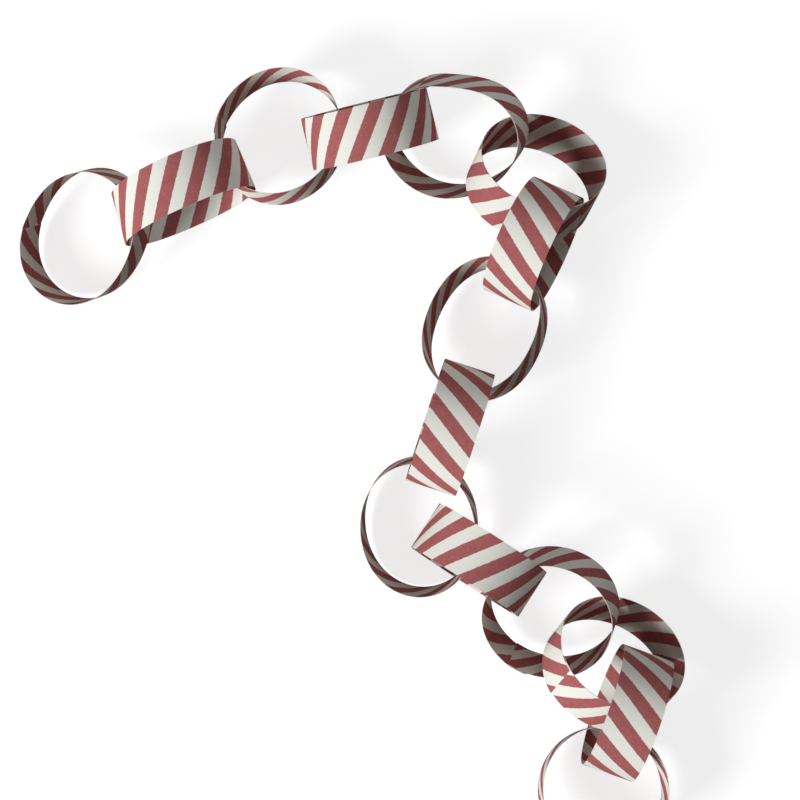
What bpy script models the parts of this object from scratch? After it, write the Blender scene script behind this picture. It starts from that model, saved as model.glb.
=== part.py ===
"""A paper chain garland: fifteen rings of striped paper strip, linked and lying on a table.

Each link is one strip of stiff paper. Its two ends overlap by a short lap and are glued, which
makes a ring, and each ring is threaded through the one before it. Some links stand on their
edge line like wheels, and the others lie on their side and lean on the wheels that hold them.
"""

import math

import bmesh
import bpy
import numpy as np
from mathutils import Matrix, Vector
from mathutils.bvhtree import BVHTree

# The strip that every link is made from, in metres.
STRIP_LENGTH = 0.203
STRIP_WIDTH = 0.0254
PAPER_THICKNESS = 0.00025

# The glued ends: how far one lies over the other, and how far before it the strip starts to rise.
LAP_LENGTH = 0.010
RISE_LENGTH = 0.006

# How finely a ring is divided: along its lap, along the rise to it and along the rest.
LAP_SEGMENTS = 5
RISE_SEGMENTS = 2
FREE_SEGMENTS = 61
CURVE_SAMPLES = 1440

# The links of a chain lie closer together if the strip is wide. So the unit of their places is
# a ring's diameter, less this many times the square of the width over the diameter.
WIDTH_SHARE = 1.6

# The clear space kept between two links, and how finely and how often it is looked for.
LINK_GAP = 0.00037
SEARCH_SHARE = 0.1
RIM_POINTS = 770
SHEET_SEGMENTS = 144
NARROWEST = 0.75
WIDEN_STEPS = 9
GATHER_ROUNDS = 80
EASE_ROUNDS = 200
SEAT_DONE = 0.02

PAPER_RED = (0.47, 0.12, 0.12)
PAPER_WHITE = (0.84, 0.83, 0.78)
PAPER_ROUGHNESS = 0.75


def lie(x, y, lift, tilt, heading, squash=0.0, squash_at=0.0, flare=0.0, bulge=0.0, bulge_at=0.0,
        slip=0.0, extra_lap=0.0, lap_at=0.0):
    """One link's place and shape.

    x and y are the ring's centre on the table and lift is the height of its lowest point, all
    three in steps of the chain. tilt is the angle of the ring's axis from upright and heading
    is the way that the axis leans, in degrees. squash, flare and bulge are shares of the
    radius: an oval, how much more oval one edge is than the other, and a blunt corner. slip is
    how far the two edges have slid past each other, for each millimetre between them.
    extra_lap is added to the lap, in millimetres. The angles squash_at, bulge_at and lap_at go
    round the ring, from the level line across it, towards its upper side.
    """
    return {
        "place": (x, y, lift),
        "stands": lift == 0.0,
        "tilt": math.radians(tilt),
        "heading": math.radians(heading),
        "squash": squash,
        "squash_at": math.radians(squash_at),
        "flare": flare,
        "bulge": bulge,
        "bulge_at": math.radians(bulge_at),
        "slip": slip,
        "lap": LAP_LENGTH + extra_lap * 0.001,
        "lap_at": math.radians(lap_at),
    }


LIES = (
    # the ring at the far left end, lying down and leaning on the first wheel
    lie(-3.461, 1.805, 0.013, 16, -142, squash=0.11, squash_at=112, lap_at=-128),
    lie(-2.372, 2.273, 0.0, 85, -66, squash=0.075, flare=0.03, slip=-0.08, extra_lap=-4, lap_at=180),
    lie(-1.314, 2.887, 0.238, 9, 115, squash=0.04, squash_at=30, lap_at=-27),
    lie(-0.33, 2.957, 0.0, 82, 104, extra_lap=-4, lap_at=-90),
    lie(0.592, 2.91, 0.036, 26, -124, squash=0.10, squash_at=34, bulge=0.03, bulge_at=174,
        extra_lap=-4, lap_at=147),
    # the bend at the right, where the chain turns towards the middle
    lie(1.498, 2.441, 0.004, 38, 64, squash=0.05, squash_at=41, lap_at=146),
    lie(1.464, 1.697, 0.0, 80, -25, squash=-0.025, lap_at=-90),
    lie(0.924, 0.778, 0.099, 15, 140, squash=0.12, squash_at=16, extra_lap=-3, lap_at=-155),
    # the wheel in the middle, upright on the middle of its lap
    lie(0.547, -0.298, 0.0, 90, -18, extra_lap=-2, lap_at=-90),
    lie(0.222, -1.385, 0.002, 8.5, -122, squash=0.08, squash_at=127, lap_at=107),
    # the second bend and the run to the near right end
    lie(0.861, -1.742, 0.0, 86, -123, squash=-0.015, extra_lap=-4, lap_at=-90),
    lie(1.65, -2.316, 0.094, 22.5, -124, squash=0.04, squash_at=34, lap_at=-86),
    lie(2.334, -2.879, 0.029, 37, 60, squash=0.04, squash_at=10, extra_lap=-2, lap_at=44),
    lie(2.484, -3.408, 0.0, 90, 160.5, lap_at=-90),
    lie(2.233, -4.286, 0.117, 9, 75, lap_at=105),
)


def ring_length(link):
    """Length of the closed ring: the strip less its lap."""
    return STRIP_LENGTH - link["lap"]


def ring_curve(link, side):
    """One long edge of the ring in its own plane, and the length along it at each point.

    side is -1 for the lower edge, 1 for the upper edge and 0 for the middle. The curve starts
    where the lap starts, goes once round and is scaled to the ring's length.
    """
    turn = np.linspace(0.0, 2.0 * math.pi, CURVE_SAMPLES + 1)
    angle = link["lap_at"] - math.pi * link["lap"] / ring_length(link) + turn
    oval = link["squash"] + side * link["flare"]
    radius = 1.0 + oval * np.cos(2.0 * (angle - link["squash_at"]))
    radius += link["bulge"] * np.cos(3.0 * (angle - link["bulge_at"]))
    points = np.column_stack((radius * np.cos(angle), radius * np.sin(angle)))
    steps = np.linalg.norm(np.diff(points, axis=0), axis=1)
    along = np.concatenate(([0.0], np.cumsum(steps)))
    scale = ring_length(link) / along[-1]
    return points * scale, along * scale


def ring_edge(link, side, along, outward):
    """Points at these lengths along one edge, moved outward by these distances."""
    points, length = ring_curve(link, side)
    ahead = np.roll(points[:-1], -1, axis=0)
    behind = np.roll(points[:-1], 1, axis=0)
    tangent = ahead - behind
    tangent /= np.linalg.norm(tangent, axis=1)[:, None]
    normal = np.column_stack((tangent[:, 1], -tangent[:, 0]))
    normal = np.vstack((normal, normal[:1]))
    place = np.column_stack([np.interp(along, length, points[:, i]) for i in (0, 1)])
    push = np.column_stack([np.interp(along, length, normal[:, i]) for i in (0, 1)])
    place += push * outward[:, None]
    height = side * STRIP_WIDTH / 2.0
    place[:, 0] += link["slip"] * height
    return np.column_stack((place, np.full(len(place), height)))


def ring_outlines(link):
    """The outer and the inner outline of the paper: lengths along the ring, and offsets."""
    half = PAPER_THICKNESS / 2.0
    length = ring_length(link)
    lap = np.linspace(0.0, link["lap"], LAP_SEGMENTS + 1)
    free = np.linspace(link["lap"], length - RISE_LENGTH, FREE_SEGMENTS + 1)
    rise = np.linspace(length - RISE_LENGTH, length, RISE_SEGMENTS + 1)[1:]
    climb = np.linspace(0.0, 2.0 * half, RISE_SEGMENTS + 1)[1:]
    outer_along = np.concatenate((lap, free, rise[:-1]))
    outer_out = np.concatenate((
        np.full(len(lap), 3.0 * half),
        np.full(len(free), half),
        half + climb[:-1],
    ))
    inner_along = np.concatenate((lap[:-1], free, rise))
    inner_out = np.concatenate((
        np.full(len(lap) - 1, -half),
        np.full(len(free), -half),
        climb - half,
    ))
    return (outer_along, outer_out), (inner_along, inner_out)


def rim_faces(count, outer, inner):
    """Faces that close one rim, from the first index of its outer and of its inner outline."""
    def around(start, index):
        return start + index % count

    faces = []
    spans = [(k, k) for k in range(1, LAP_SEGMENTS - 1)]
    spans += [(LAP_SEGMENTS + 1 + k, LAP_SEGMENTS + k) for k in range(FREE_SEGMENTS + RISE_SEGMENTS)]
    for a, b in spans:
        faces.append((around(outer, a), around(outer, a + 1), around(inner, b + 1), around(inner, b)))
    # the step on the inside, where the strip starts
    last = inner + count - 1
    faces.append((outer, outer + 1, last))
    faces.append((last, outer + 1, inner + 1))
    faces.append((last, inner + 1, inner))
    # the step on the outside, where the strip ends
    end = LAP_SEGMENTS
    faces.append((outer + end - 1, outer + end, outer + end + 1))
    faces.append((outer + end - 1, outer + end + 1, inner + end - 1))
    faces.append((inner + end - 1, outer + end + 1, inner + end))
    return faces


def ring_solid(link):
    """Vertices and faces of one link, in its own plane."""
    (outer_along, outer_out), (inner_along, inner_out) = ring_outlines(link)
    count = len(outer_along)
    vertices = np.vstack((
        ring_edge(link, 1, outer_along, outer_out),
        ring_edge(link, -1, outer_along, outer_out),
        ring_edge(link, 1, inner_along, inner_out),
        ring_edge(link, -1, inner_along, inner_out),
    ))
    outer_up, outer_down, inner_up, inner_down = (count * i for i in range(4))
    faces = []
    for i in range(count):
        j = (i + 1) % count
        faces.append((outer_down + i, outer_down + j, outer_up + j, outer_up + i))
        faces.append((inner_down + j, inner_down + i, inner_up + i, inner_up + j))
    faces += rim_faces(count, outer_up, inner_up)
    faces += [tuple(reversed(face)) for face in rim_faces(count, outer_down, inner_down)]
    return vertices, faces


def ring_axes(link):
    """The level line across the ring, the line up its slope and its axis, as rows."""
    tilt = link["tilt"]
    heading = link["heading"]
    axis = (math.sin(tilt) * math.cos(heading), math.sin(tilt) * math.sin(heading), math.cos(tilt))
    across = (-math.sin(heading), math.cos(heading), 0.0)
    return np.array((across, np.cross(axis, across), axis))


def chain_step():
    """The unit of the links' places."""
    diameter = (STRIP_LENGTH - LAP_LENGTH) / math.pi
    return diameter - WIDTH_SHARE * STRIP_WIDTH ** 2 / diameter


def sheet(link, share):
    """The ring's middle surface about its own centre: a search tree, and points along its rims.

    share is how much of the strip's width is taken, about the strip's middle line.
    """
    length = ring_length(link)
    coarse = np.linspace(0.0, length, SHEET_SEGMENTS, endpoint=False)
    fine = np.linspace(0.0, length, RIM_POINTS, endpoint=False)
    edges = [ring_edge(link, side, coarse, np.zeros(len(coarse))) for side in (-share, share)]
    corners = np.vstack(edges) @ link["axes"]
    quads = []
    for i in range(SHEET_SEGMENTS):
        j = (i + 1) % SHEET_SEGMENTS
        quads.append((i, j, j + SHEET_SEGMENTS, i + SHEET_SEGMENTS))
    tree = BVHTree.FromPolygons([Vector(corner) for corner in corners], quads)
    rims = [ring_edge(link, side, fine, np.zeros(len(fine))) for side in (-share, share)]
    return tree, [Vector(point) for point in np.vstack(rims) @ link["axes"]]


def shortest_way(points, tree, shift):
    """The shortest way from the points, moved by shift, to the tree's surface."""
    best = None
    for point in points:
        found, _, _, distance = tree.find_nearest(point + shift)
        if best is None or distance < best.length:
            best = found - point - shift
    return best


def way_between(first, second, points):
    """The shortest way from the first link's paper to the second's, or None if it is long."""
    shift = first["centre"] - second["centre"]
    ways = []
    if points[0]:
        ways.append(shortest_way(points[0], second["tree"], shift))
    if points[1]:
        ways.append(-shortest_way(points[1], first["tree"], -shift))
    return min(ways, key=lambda vector: vector.length) if ways else None


def ease(first, second, points, gather):
    """Move two links away from each other if they are too close, or together if gather is set.

    A link that stands on the table stays on it, and none goes below it. What comes back is how
    far the two are from the clearance that they should have, as a share of it.
    """
    way = way_between(first, second, points)
    if way is None:
        return 0.0
    clearance = PAPER_THICKNESS + LINK_GAP
    lack = clearance - way.length
    if lack <= 0.0 and not gather:
        return 0.0
    move = way.normalized() * lack / (2.0 if lack > 0.0 else 4.0)
    for link, step in ((first, -move), (second, move)):
        if link["stands"]:
            step.z = 0.0
        link["centre"] += step
        link["centre"].z = max(link["centre"].z, link["depth"])
    return max(lack, 0.0) / clearance


def near_pairs(links, share):
    """Each link with the next two: their points near each other, and if they are neighbours."""
    reach = SEARCH_SHARE * STRIP_LENGTH / math.pi
    for link in links:
        link["tree"], link["rims"] = sheet(link, share)
    pairs = []
    for i in range(len(links)):
        for j in range(i + 1, min(i + 3, len(links))):
            a = links[i]
            b = links[j]
            shift = a["centre"] - b["centre"]
            near_a = [p for p in a["rims"] if b["tree"].find_nearest(p + shift, reach)[0]]
            near_b = [p for p in b["rims"] if a["tree"].find_nearest(p - shift, reach)[0]]
            pairs.append((a, b, (near_a, near_b), j == i + 1))
    return pairs


def ease_all(pairs):
    """Ease every pair apart, again and again, until all of them have their clearance."""
    for _ in range(EASE_ROUNDS):
        lack = max([ease(first, second, points, False) for first, second, points, _ in pairs])
        if lack < SEAT_DONE:
            break


def seat(links):
    """Bring the links clear of each other, and each of them up to the one before it.

    The strips are first taken narrow and then widened step by step, so that each rim stays on
    its own side of the paper beside it.
    """
    for share in np.linspace(NARROWEST, 1.0, WIDEN_STEPS):
        pairs = near_pairs(links, share)
        ease_all(pairs)
    for _ in range(GATHER_ROUNDS):
        for first, second, points, neighbours in pairs:
            ease(first, second, points, neighbours)
    ease_all(pairs)


def paper_material(name):
    """Matt printed paper, in the colour that its red and white stripes make together."""
    material = bpy.data.materials.new(name)
    material.use_nodes = True
    shader = material.node_tree.nodes["Principled BSDF"]
    colour = [(red + white) / 2.0 for red, white in zip(PAPER_RED, PAPER_WHITE)]
    shader.inputs["Base Color"].default_value = (*colour, 1.0)
    shader.inputs["Roughness"].default_value = PAPER_ROUGHNESS
    material.diffuse_color = (*colour, 1.0)
    return material


def add_link(name, link, origin, parent):
    """One closed paper ring, turned and moved to its place."""
    mesh = bpy.data.meshes.new(name)
    work = bmesh.new()
    corners = [work.verts.new(vertex) for vertex in link["vertices"]]
    for face in link["faces"]:
        work.faces.new([corners[i] for i in face])
    if link["flare"]:
        bmesh.ops.triangulate(work, faces=work.faces[:])
    work.normal_update()
    work.to_mesh(mesh)
    work.free()
    mesh.materials.append(paper_material(name + "_striped_paper"))
    piece = bpy.data.objects.new(name, mesh)
    bpy.context.scene.collection.objects.link(piece)
    turn = Matrix(link["axes"].tolist()).transposed()
    piece.matrix_world = Matrix.Translation(link["centre"] - origin) @ turn.to_4x4()
    piece.parent = parent
    return piece


def build():
    """The whole garland, with its origin on the table below the middle of its outline."""
    for scene_object in list(bpy.data.objects):
        bpy.data.objects.remove(scene_object, do_unlink=True)
    links = [dict(entry) for entry in LIES]
    for link in links:
        link["axes"] = ring_axes(link)
        link["vertices"], link["faces"] = ring_solid(link)
        link["depth"] = -float((link["vertices"] @ link["axes"])[:, 2].min())
        link["centre"] = Vector(link["place"]) * chain_step()
        link["centre"].z += link["depth"]
    seat(links)
    outlines = [link["vertices"] @ link["axes"] + np.array(link["centre"]) for link in links]
    outline = np.vstack(outlines)
    middle = (outline.min(axis=0) + outline.max(axis=0)) / 2.0
    origin = Vector((middle[0], middle[1], 0.0))
    root = bpy.data.objects.new("paper_chain_garland", None)
    bpy.context.scene.collection.objects.link(root)
    for number, link in enumerate(links, start=1):
        add_link("link_%02d" % number, link, origin, root)


build()
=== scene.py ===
# %% [markdown]
# # A paper chain garland
# A paper chain is the first garland that most people make. A strip of printed paper is bent
# round until its ends meet, one end is glued over the other, and the next strip is threaded
# through the ring before it is closed. This chain lies on a table. Some rings stand like
# wheels and the rings between them lie on their sides.
#
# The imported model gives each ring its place. Here each ring gets the paper itself: an open
# strip with two real ends, its printed slanted stripes on both faces, and its pale cut edges.

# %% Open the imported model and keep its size
import math

import bpy
import numpy as np
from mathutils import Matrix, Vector


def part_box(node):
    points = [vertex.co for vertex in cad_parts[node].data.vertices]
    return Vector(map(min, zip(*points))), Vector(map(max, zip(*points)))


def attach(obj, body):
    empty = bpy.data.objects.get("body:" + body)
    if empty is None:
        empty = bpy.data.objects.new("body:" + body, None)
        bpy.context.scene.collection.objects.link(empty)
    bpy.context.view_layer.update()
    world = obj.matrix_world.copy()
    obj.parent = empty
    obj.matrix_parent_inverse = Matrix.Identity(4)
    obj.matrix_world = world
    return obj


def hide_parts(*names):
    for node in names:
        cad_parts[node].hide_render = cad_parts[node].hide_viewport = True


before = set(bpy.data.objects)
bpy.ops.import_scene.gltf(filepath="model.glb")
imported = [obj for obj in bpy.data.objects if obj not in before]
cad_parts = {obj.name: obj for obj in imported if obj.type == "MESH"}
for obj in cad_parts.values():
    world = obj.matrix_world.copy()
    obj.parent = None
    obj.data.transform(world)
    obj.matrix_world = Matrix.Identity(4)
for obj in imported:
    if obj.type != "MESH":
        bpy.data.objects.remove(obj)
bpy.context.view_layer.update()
nodes = sorted(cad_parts)
print("rings in the model:", len(nodes))

# %% [markdown]
# ## The strip of paper
# Every ring is the same cut strip, 25.4 by 203 mm, of stiff printed paper a quarter of a
# millimetre thick. Real paper is thin, but the thickness is modelled, because the cut edge
# shows as a bright line wherever a ring is seen edge on.

# %% Sizes of the strip, in metres
STRIP_LENGTH = 0.203
STRIP_WIDTH = 0.0254
PAPER = 0.00025
LAP = 0.010
RISE = 0.006
LAYER_STEP = PAPER * 1.04
ASKEW_REACH = 0.03
ALONG = 290
ACROSS = 9
CURVE_SAMPLES = 1440
print("columns and rows of each strip:", ALONG, ACROSS)

# %% [markdown]
# ## How each ring lies
# A ring needs its lean, the way that it leans, and how far it is from round. tilt is the angle
# of its axis from upright: 90 is a wheel. squash makes it oval and flare makes one edge more
# oval than the other. The angles go round the ring from the level line across it. front says
# how far along the strip the print starts on the face that shows outside the ring, and back
# says it for the other face. Each strip was cut from the sheet at a different stripe, and the
# two sides were printed one after the other. askew is how far the glued end missed the edge of
# the strip below it.

# %% The lie of each ring, from the left end of the chain to the right
def lie(tilt, heading, squash=0.0, squash_at=0.0, flare=0.0, bulge=0.0, bulge_at=0.0, slip=0.0,
        extra_lap=0.0, lap_at=0.0, front=0.0, back=0.0, askew=0.0):
    """One ring's lean and shape: degrees, shares of the radius, and millimetres."""
    return dict(tilt=math.radians(tilt), heading=math.radians(heading), squash=squash,
                squash_at=math.radians(squash_at), flare=flare, bulge=bulge,
                bulge_at=math.radians(bulge_at), slip=slip, lap=LAP + extra_lap * 0.001,
                lap_at=math.radians(lap_at), front=front * 0.001, back=back * 0.001,
                askew=askew * 0.001)


LIES = [
    lie(16, -142, 0.11, 112, lap_at=-128, front=14.5, back=13.0),
    lie(85, -66, 0.075, flare=0.03, slip=-0.08, extra_lap=-4, lap_at=180, front=9.7, back=9.2),
    lie(9, 115, 0.04, 30, lap_at=-33, front=1.6, back=-0.2, askew=1.6),
    lie(82, 104, extra_lap=-4, lap_at=-90, front=2.8, back=3.0),
    lie(26, -124, 0.10, 34, bulge=0.03, bulge_at=174, extra_lap=-4, lap_at=147, front=12.1, back=8.6,
        askew=-0.8),
    lie(38, 64, 0.05, 41, lap_at=146, front=15.1, back=13.3),
    lie(80, -25, -0.025, lap_at=-30, front=4.6, back=9.7),
    lie(15, 140, 0.12, 16, extra_lap=-3, lap_at=-155, front=14.5, back=4.1),
    lie(90, -18, extra_lap=-2, lap_at=-90, front=1.5, back=2.0),
    lie(8.5, -122, 0.08, 127, lap_at=107, front=4.0, back=12.2),
    lie(86, -123, -0.015, extra_lap=-4, lap_at=-90, front=6.2, back=11.3),
    lie(22.5, -124, 0.04, 34, lap_at=-86, front=7.7, back=14.0, askew=0.7),
    lie(37, 60, 0.04, 10, extra_lap=-2, lap_at=44, front=0.8, back=6.4, askew=-0.6),
    lie(90, 160.5, lap_at=-60, front=6.5, back=4.6),
    lie(9, 75, lap_at=105, front=6.0, back=2.0),
]
print("rings described:", len(LIES))

# %% [markdown]
# ## The curve of one ring
# A bent strip curves only one way, so a ring is the same curve along its whole width, or very
# nearly. The curve is a circle pulled into a slight oval. Its length is the strip's length less
# the lap, which fixes its size, so it is drawn first at any size and then scaled.

# %% A closed curve of the right length
def ring_curve(ring, side):
    """The ring's curve, and the length along it.

    The radius is one, plus the squash times the cosine of twice the angle, plus the bulge times
    the cosine of three times the angle. The whole curve is then scaled to the ring's length.
    """
    length = STRIP_LENGTH - ring["lap"]
    turn = np.linspace(0.0, 2.0 * math.pi, CURVE_SAMPLES + 1)
    angle = ring["lap_at"] - math.pi * ring["lap"] / length + turn
    radius = 1.0 + (ring["squash"] + side * ring["flare"]) * np.cos(2.0 * (angle - ring["squash_at"]))
    radius += ring["bulge"] * np.cos(3.0 * (angle - ring["bulge_at"]))
    points = np.stack([radius * np.cos(angle), radius * np.sin(angle)], axis=-1)
    along = np.concatenate([[0.0], np.cumsum(np.linalg.norm(np.diff(points, axis=0), axis=1))])
    return points * length / along[-1], along * length / along[-1]


points, along = ring_curve(LIES[8], 0.0)
print("diameter of a round ring in mm: %.1f" % (np.ptp(points[:, 0]) * 1000))

# %% [markdown]
# ## The strip on its curve
# The strip is longer than the curve, so its last part runs over its first. The layer's height
# above the curve is nothing for most of the way. Just before the lap it climbs by one thickness,
# and it stays there to the end. A surface of two parameters gives each point: how far along the
# strip, and how far across it.

# %% Height of the layer above the curve
def smooth(x):
    """An even step from nought to one: three x squared less two x cubed."""
    x = np.clip(x, 0.0, 1.0)
    return x * x * (3.0 - 2.0 * x)


def layer_height(ring, s):
    """One thickness of paper over the lap, none elsewhere, with a smooth climb between."""
    start = STRIP_LENGTH - ring["lap"] - RISE
    return LAYER_STEP * smooth((s - start) / RISE)


def sideways(ring, s):
    """How far the strip has wandered across by here: half the miss at each end."""
    late = smooth((s - STRIP_LENGTH + ASKEW_REACH) / ASKEW_REACH)
    early = smooth((ASKEW_REACH - s) / ASKEW_REACH)
    return ring["askew"] * 0.5 * (late - early)


# %% One face of the strip as a grid of points
def strip_face(ring, lift):
    """Point = curve at s, moved outward by the layer's height and by lift, and v across."""
    s = np.linspace(0.0, STRIP_LENGTH, ALONG)
    v = np.linspace(-0.5, 0.5, ACROSS) * STRIP_WIDTH
    length = STRIP_LENGTH - ring["lap"]
    grid = np.empty((ALONG, ACROSS, 3))
    for column in range(ACROSS):
        points, along = ring_curve(ring, 2.0 * v[column] / STRIP_WIDTH)
        ahead = np.roll(points[:-1], -1, axis=0) - np.roll(points[:-1], 1, axis=0)
        ahead /= np.linalg.norm(ahead, axis=1)[:, None]
        outward = np.stack([ahead[:, 1], -ahead[:, 0]], axis=-1)
        outward = np.concatenate([outward, outward[:1]])
        here = np.mod(s, length)
        push = layer_height(ring, s) + lift
        for axis in range(2):
            base = np.interp(here, along, points[:, axis])
            grid[:, column, axis] = base + push * np.interp(here, along, outward[:, axis])
        grid[:, column, 0] += ring["slip"] * v[column]
        grid[:, column, 2] = v[column] + sideways(ring, s)
    return grid, s, v


grid, s, v = strip_face(LIES[8], PAPER / 2)
print("one face of a strip has", grid.shape[0] * grid.shape[1], "points")

# %% [markdown]
# ## Two faces and a cut edge
# The two faces are joined all round by the cut edge of the paper. The print runs the same way
# on both faces, as seen from each, so the across value changes sign on the inside. Both values
# are kept in the strip's own UV map, in metres, and the stripes are drawn from it.

# %% Faces of the slab of paper
def slab_faces():
    """Quads of the outer face, the inner face and the four cut edges, as rows of indices."""
    index = np.arange(ALONG * ACROSS).reshape(ALONG, ACROSS)
    a, b, c, d = index[:-1, :-1], index[1:, :-1], index[1:, 1:], index[:-1, 1:]
    outer = np.stack([a, b, c, d], axis=-1).reshape(-1, 4)
    under = ALONG * ACROSS
    inner = outer[:, ::-1] + under
    border = np.concatenate([index[:-1, 0], index[-1, :-1], index[:0:-1, -1], index[0, :0:-1]])
    after = np.roll(border, -1)
    rim = np.stack([border, border + under, after + under, after], axis=-1)
    return outer, inner, rim


outer, inner, rim = slab_faces()
print("quads: %d outside, %d inside, %d round the cut edge" % (len(outer), len(inner), len(rim)))

# %% Turn a ring from its own plane to its lean
def turn_to_lean(ring, points):
    """Level line across, line up the slope and axis: each point is their weighted sum."""
    lean, way = ring["tilt"], ring["heading"]
    axis = np.array([math.sin(lean) * math.cos(way), math.sin(lean) * math.sin(way), math.cos(lean)])
    level = np.array([-math.sin(way), math.cos(way), 0.0])
    return points @ np.array([level, np.cross(axis, level), axis])


# %% [markdown]
# ## Materials
# The real strips are uncoated paper, printed on both sides with slanted stripes of soft red on
# an off-white ground. Print on such paper is never even: the ink sinks in a little blotchy, and
# the edge of each stripe is not quite sharp. All of it is drawn with nodes from the strip's own
# UV map, so that it follows the paper round the ring.

# %% A helper for colours and one for nodes
def colour(hex_code):
    """A screen colour as linear light: each channel by the sRGB curve."""
    channels = [int(hex_code[i:i + 2], 16) / 255.0 for i in (1, 3, 5)]
    linear = [c / 12.92 if c <= 0.04045 else ((c + 0.055) / 1.055) ** 2.4 for c in channels]
    return (*linear, 1.0)


def add_node(tree, kind, links=(), values=(), **settings):
    """Add a node, set its properties and sockets, and link its inputs."""
    node = tree.nodes.new(kind)
    for name, value in settings.items():
        setattr(node, name, value)
    for socket, value in values:
        node.inputs[socket].default_value = value
    for socket, source in links:
        tree.links.new(source, node.inputs[socket])
    return node


# %% [markdown]
# ### Printed paper
# The stripes repeat every 15.7 mm along the strip, and each leans by seven tenths of the
# strip's width. The place in the pattern is the distance along, less 0.70 times the distance
# across, divided by the repeat. Its fraction says where in the repeat a point is: the red is
# one half of it and the ground is the other. A fine noise moves the edges by a fifth of a
# millimetre, which makes them as ragged as ink on soft paper. Where a fibre stands proud the ink
# is thin, so the red has fine pale specks. They are drawn about a millimetre wide, so they show.

# %% The striped material
STRIPE_REPEAT = 0.0157
STRIPE_LEAN = -0.70
EDGE_GRAIN = 0.0016
EDGE_SHAKE = 0.0009
BLOTCH_SIZE = 0.004
FIBRE_SIZE = 0.0009
FIBRE_HEIGHT = 0.00005


def striped_paper():
    """Uncoated paper, printed: rough, with soft ink edges, blotches and a fibre bump."""
    material = bpy.data.materials.new("printed_uncoated_paper")
    material.use_nodes = True
    tree = material.node_tree
    shader = tree.nodes["Principled BSDF"]
    place = add_node(tree, "ShaderNodeUVMap", uv_map="strip")
    parts = add_node(tree, "ShaderNodeSeparateXYZ", [("Vector", place.outputs[0])])
    ragged = add_node(tree, "ShaderNodeTexNoise", [("Vector", place.outputs[0])],
                      [("Scale", 1 / EDGE_GRAIN), ("Detail", 3.0)])
    shake = add_node(tree, "ShaderNodeMath", [(0, ragged.outputs[0])],
                     [(1, EDGE_SHAKE)], operation="MULTIPLY")
    leaning = add_node(tree, "ShaderNodeMath", [(0, parts.outputs[1]), (2, parts.outputs[0])],
                       [(1, STRIPE_LEAN)], operation="MULTIPLY_ADD")
    moved = add_node(tree, "ShaderNodeMath", [(0, leaning.outputs[0]), (1, shake.outputs[0])],
                     operation="ADD")
    repeat = add_node(tree, "ShaderNodeMath", [(0, moved.outputs[0])],
                      [(1, STRIPE_REPEAT)], operation="DIVIDE")
    share = add_node(tree, "ShaderNodeMath", [(0, repeat.outputs[0])], operation="FRACT")
    centred = add_node(tree, "ShaderNodeMath", [(0, share.outputs[0])],
                       [(1, 0.5)], operation="SUBTRACT")
    away = add_node(tree, "ShaderNodeMath", [(0, centred.outputs[0])], operation="ABSOLUTE")
    ink = add_node(tree, "ShaderNodeMapRange", [("Value", away.outputs[0])],
                   [("From Min", 0.262), ("From Max", 0.238)], interpolation_type="SMOOTHSTEP")
    blotch = add_node(tree, "ShaderNodeTexNoise", [("Vector", place.outputs[0])],
                      [("Scale", 1 / BLOTCH_SIZE), ("Detail", 4.0), ("Roughness", 0.6)])
    red = add_node(tree, "ShaderNodeMix", [("Factor", blotch.outputs[0])],
                   [(6, colour("#9e5455")), (7, colour("#b86d6e"))], data_type="RGBA")
    fibre = add_node(tree, "ShaderNodeTexNoise", [("Vector", place.outputs[0])],
                     [("Scale", 1 / FIBRE_SIZE), ("Detail", 5.0)])
    ground = add_node(tree, "ShaderNodeMix", [("Factor", fibre.outputs[0])],
                      [(6, colour("#e9e9de")), (7, colour("#f8f8f1"))], data_type="RGBA")
    gaps = add_node(tree, "ShaderNodeMapRange", [("Value", fibre.outputs[0])],
                    [("From Min", 0.56), ("From Max", 0.70), ("To Min", 1.0), ("To Max", 0.9)])
    cover = add_node(tree, "ShaderNodeMath", [(0, ink.outputs[0]), (1, gaps.outputs[0])],
                     operation="MULTIPLY")
    print_mix = add_node(tree, "ShaderNodeMix",
                         [("Factor", cover.outputs[0]), (6, ground.outputs[2]), (7, red.outputs[2])],
                         data_type="RGBA")
    bump = add_node(tree, "ShaderNodeBump", [("Height", fibre.outputs[0])],
                    [("Strength", 0.25), ("Distance", FIBRE_HEIGHT)])
    tree.links.new(print_mix.outputs[2], shader.inputs["Base Color"])
    tree.links.new(bump.outputs[0], shader.inputs["Normal"])
    shader.inputs["Roughness"].default_value = 0.85
    shader.inputs["Specular IOR Level"].default_value = 0.1
    return material


paper = striped_paper()
print("material:", paper.name)

# %% [markdown]
# ### The cut edge
# Print lies only on the faces. The cut edge shows the paper itself, which is paler than the ink
# and a little fuzzy, so each ring has a thin bright outline.

# %% The paper core
PULP_SIZE = 0.0006


def paper_core():
    """Bare paper pulp: off-white, matt, with a fine unevenness."""
    material = bpy.data.materials.new("bare_paper_cut_edge")
    material.use_nodes = True
    tree = material.node_tree
    shader = tree.nodes["Principled BSDF"]
    place = add_node(tree, "ShaderNodeTexCoord")
    pulp = add_node(tree, "ShaderNodeTexNoise", [("Vector", place.outputs["Object"])],
                    [("Scale", 1 / PULP_SIZE), ("Detail", 3.0)])
    tone = add_node(tree, "ShaderNodeMix", [("Factor", pulp.outputs[0])],
                    [(6, colour("#dcd6cc")), (7, colour("#f6f3ee"))], data_type="RGBA")
    tree.links.new(tone.outputs[2], shader.inputs["Base Color"])
    shader.inputs["Roughness"].default_value = 0.9
    return material


core = paper_core()
print("material:", core.name)

# %% [markdown]
# ## Making the rings
# Each ring is made about its own middle, turned to its lean, and moved so that its box has the
# same middle as the box of the model's ring. It then stands for that ring. The strips are cut one
# after another from a long sheet, thirteen stripes to a strip, so no two have the same blotches.

# %% One ring of paper
STRIPES_TO_A_STRIP = 13


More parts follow.
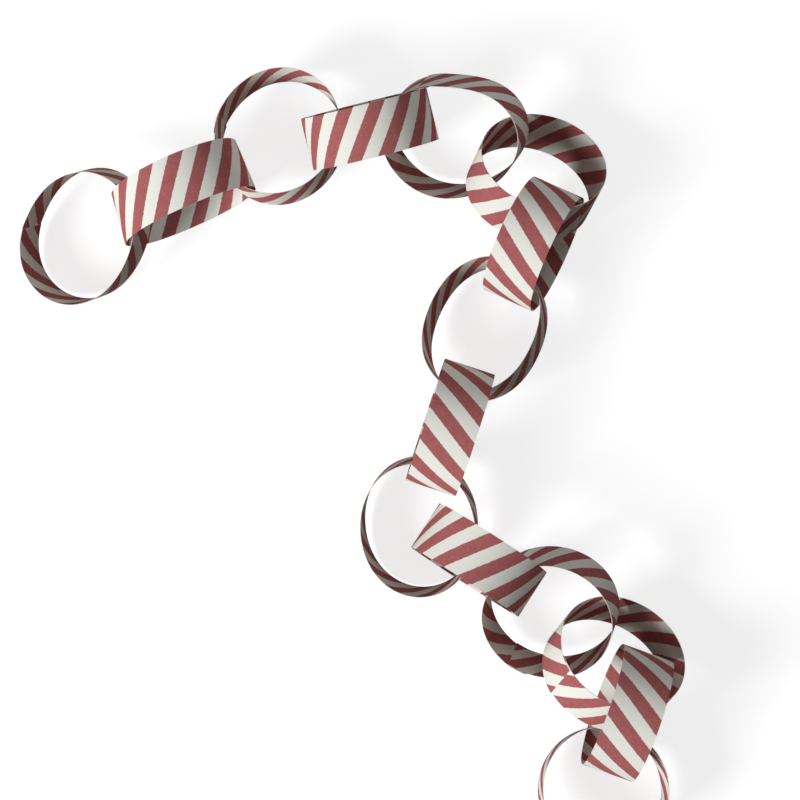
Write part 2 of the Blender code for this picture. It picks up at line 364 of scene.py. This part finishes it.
def add_ring(name, number, ring):
    """A closed slab from the outer and inner grids, with its print in the UV map."""
    over, s, v = strip_face(ring, PAPER / 2)
    under, _, _ = strip_face(ring, -PAPER / 2)
    corners = turn_to_lean(ring, np.concatenate([over.reshape(-1, 3), under.reshape(-1, 3)]))
    low, high = (np.array(corner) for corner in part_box(name))
    corners += (low + high) / 2 - (corners.min(axis=0) + corners.max(axis=0)) / 2
    faces = np.concatenate([outer, inner, rim])
    mesh = bpy.data.meshes.new(name + "_paper")
    mesh.from_pydata(corners, [], faces)
    along, across = np.meshgrid(s, v, indexing="ij")
    start = along.ravel() + number * STRIPES_TO_A_STRIP * STRIPE_REPEAT
    front = np.stack([start + ring["front"], across.ravel()], axis=-1)
    back = np.stack([start + ring["back"], -across.ravel()], axis=-1)
    layer = mesh.uv_layers.new(name="strip")
    layer.data.foreach_set("uv", np.concatenate([front, back])[faces.ravel()].ravel())
    mesh.materials.append(paper)
    mesh.materials.append(core)
    slots = np.zeros(len(faces), dtype=np.int32)
    slots[-len(rim):] = 1
    mesh.polygons.foreach_set("material_index", slots)
    mesh.shade_smooth()
    mesh.set_sharp_from_angle(angle=math.radians(40))
    mesh.update()
    piece = bpy.data.objects.new(name + "_paper", mesh)
    bpy.context.scene.collection.objects.link(piece)
    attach(piece, "root")
    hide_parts(name)
    return piece


rings = [add_ring(name, number, ring) for number, (name, ring) in enumerate(zip(nodes, LIES))]
print("paper rings made:", len(rings))

# %% [markdown]
# ## The table, the light and the camera
# The chain is seen from straight above, in strong light from the lower left. A far wall sends
# back a little of it from the other side, and the room adds an even pale light. The table is
# white and matt, and it carries the chain's soft shadow. The lens is long, so the rings at the
# ends are seen almost as squarely as the ones in the middle.

# %% What the eye and a mirror see
def eye_and_mirrors(tree):
    """One for the rays that show a surface to the eye, a mirror or glass, and nought for others."""
    ray = add_node(tree, "ShaderNodeLightPath")
    mirrored = add_node(tree, "ShaderNodeMath",
                        [(0, ray.outputs["Is Camera Ray"]), (1, ray.outputs["Is Glossy Ray"])],
                        operation="MAXIMUM")
    return add_node(tree, "ShaderNodeMath",
                    [(0, mirrored.outputs[0]), (1, ray.outputs["Is Transmission Ray"])],
                    operation="MAXIMUM")


# %% The white table
def white_table():
    """White to the eye, with the chain's shadow in it, and dark brown to the light it returns.

    A table that returned all its light would make the shaded sides of the rings too pale.
    """
    material = bpy.data.materials.new("white_table")
    material.use_nodes = True
    tree = material.node_tree
    tree.nodes.remove(tree.nodes["Principled BSDF"])
    seen = eye_and_mirrors(tree)
    lit = add_node(tree, "ShaderNodeBsdfDiffuse", [], [("Color", colour("#aaaaaa"))])
    lift = add_node(tree, "ShaderNodeEmission", [],
                    [("Color", (1.0, 1.0, 1.0, 1.0)), ("Strength", 0.78)])
    white = add_node(tree, "ShaderNodeAddShader", [(0, lit.outputs[0]), (1, lift.outputs[0])])
    dull = add_node(tree, "ShaderNodeBsdfDiffuse", [], [("Color", colour("#5c4a3e"))])
    floor = add_node(tree, "ShaderNodeMixShader",
                     [(0, seen.outputs[0]), (1, dull.outputs[0]), (2, white.outputs[0])])
    tree.links.new(floor.outputs[0], tree.nodes["Material Output"].inputs["Surface"])
    return material


TABLE_REACH = 2.0
TABLE_TOP = -0.0002


def table_top():
    """A plain square a fifth of a millimetre under the chain, so the paper's edges don't sink in."""
    mesh = bpy.data.meshes.new("table")
    sides = [(-TABLE_REACH, -TABLE_REACH), (TABLE_REACH, -TABLE_REACH),
             (TABLE_REACH, TABLE_REACH), (-TABLE_REACH, TABLE_REACH)]
    mesh.from_pydata([(x, y, TABLE_TOP) for x, y in sides], [], [(0, 1, 2, 3)])
    mesh.materials.append(white_table())
    table = bpy.data.objects.new("table", mesh)
    bpy.context.scene.collection.objects.link(table)


table_top()

# %% Light from the lower left, and a little from the far wall and the room
def add_light(name, place, target, size, power):
    """A square lamp at a place, turned towards a target."""
    lamp = bpy.data.lights.new(name, "AREA")
    lamp.size = size
    lamp.energy = power
    holder = bpy.data.objects.new(name, lamp)
    holder.location = place
    holder.rotation_euler = (Vector(target) - Vector(place)).to_track_quat("-Z", "Y").to_euler()
    bpy.context.scene.collection.objects.link(holder)


add_light("window", (-1.31, -0.76, 1.15), (0, 0, 0), 0.75, 37.0)
add_light("far_wall", (0.5, 1.3, 0.9), (0, 0, 0), 1.0, 5.5)

# %% The room: white to the eye, and a weak even light on the chain
ROOM_LIGHT = 0.09
world = bpy.data.worlds.new("pale_room")
bpy.context.scene.world = world
world.use_nodes = True
sky = world.node_tree
seen = eye_and_mirrors(sky)
strength = add_node(sky, "ShaderNodeMath", [(0, seen.outputs[0])],
                    [(1, 1.0 - ROOM_LIGHT), (2, ROOM_LIGHT)], operation="MULTIPLY_ADD")
sky.nodes["Background"].inputs["Color"].default_value = (1.0, 1.0, 1.0, 1.0)
sky.links.new(strength.outputs[0], sky.nodes["Background"].inputs["Strength"])

# %% The camera, straight above, a little to the upper left of the middle ring
CAMERA_HEIGHT = 1.2
FROM_MIDDLE_RING = (-0.0244, 0.0133)
low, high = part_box("link_09")
EYE = ((low[0] + high[0]) / 2 + FROM_MIDDLE_RING[0],
       (low[1] + high[1]) / 2 + FROM_MIDDLE_RING[1], CAMERA_HEIGHT)
camera = bpy.data.cameras.new("camera")
camera.lens = 108.0
camera.sensor_width = 36.0
viewer = bpy.data.objects.new("camera", camera)
viewer.location = EYE
bpy.context.scene.collection.objects.link(viewer)
bpy.context.scene.camera = viewer
bpy.context.scene.view_settings.view_transform = "Standard"
print("camera at", [round(value, 4) for value in EYE])
